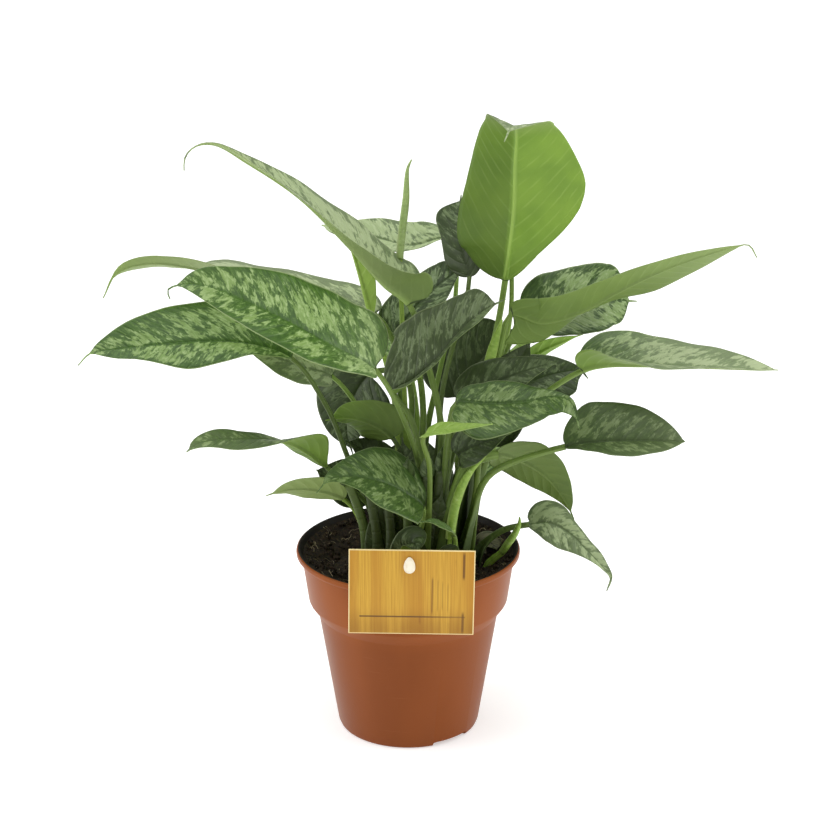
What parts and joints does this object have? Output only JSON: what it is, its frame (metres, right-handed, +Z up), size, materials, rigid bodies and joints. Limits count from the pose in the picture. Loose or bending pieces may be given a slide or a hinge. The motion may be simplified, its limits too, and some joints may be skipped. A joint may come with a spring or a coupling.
{
  "type": "potted house plant",
  "caption": "Leafy tropical house plant with long pointed variegated leaves on slender stems, in a round plastic nursery pot of soil with a plant label clipped at the rim.",
  "frame": {"origin": "centre of the pot's base, where the pot stands", "axes": "+Z up along the pot's axis, -Y to the side that the plant label faces, +X to the right seen from there"},
  "size_m": [0.3477, 0.2375, 0.3364],
  "materials": {
    "pot_plastic": "satin terracotta-coloured plastic",
    "soil": "loose dark peat mix",
    "card": "golden bamboo board with an upright grain",
    "stake_plastic": "smooth cream plastic",
    "leaf_green": "satin leaf with silver-green mottling",
    "leaf_pale": "satin leaf with more silver-green than green",
    "leaf_shade": "satin leaf, dark green",
    "leaf_young": "soft light green young leaf",
    "leaf_old": "dull withered leaf"
  },
  "bodies": {
    "root": {"pot": "pot_plastic", "soil": "soil", "label_card": "card", "label_stake": "stake_plastic", "leaf_upper_left_long": "leaf_pale", "leaf_left_twisted": "leaf_pale", "leaf_left_broad": "leaf_green", "leaf_left_low_long": "leaf_green", "leaf_left_pale": "leaf_pale", "leaf_left_shaded": "leaf_shade", "leaf_left_inner": "leaf_green", "leaf_front_low": "leaf_green", "leaf_left_small_twisted": "leaf_green", "leaf_centre_folded": "leaf_shade", "leaf_centre_back": "leaf_shade", "leaf_back_pale": "leaf_pale", "leaf_young_narrow": "leaf_young", "leaf_rolled_tall": "leaf_young", "leaf_tall_upright": "leaf_green", "leaf_tall_shaded": "leaf_shade", "leaf_right_long": "leaf_green", "leaf_right_broad": "leaf_pale", "leaf_right_strip": "leaf_pale", "leaf_right_level": "leaf_green", "leaf_right_olive": "leaf_shade", "leaf_front_right": "leaf_green", "leaf_front_dark": "leaf_shade", "leaf_front_small": "leaf_young", "leaf_front_shaded": "leaf_shade", "leaf_right_mid": "leaf_green", "leaf_right_arching": "leaf_green", "leaf_right_drooping": "leaf_pale", "leaf_old_on_soil": "leaf_old", "leaf_rolled_low": "leaf_young", "leaf_left_lowest": "leaf_young", "leaf_left_hidden": "leaf_shade", "leaf_front_tiny": "leaf_green", "leaf_centre_shaded": "leaf_shade", "leaf_back_tall": "leaf_green", "leaf_back_high": "leaf_green", "leaf_back_centre": "leaf_green", "leaf_back_left": "leaf_green", "leaf_back_left_low": "leaf_green", "leaf_back_right": "leaf_green", "leaf_back_low_right": "leaf_green", "leaf_back_low": "leaf_shade"}
  },
  "joints": []
}
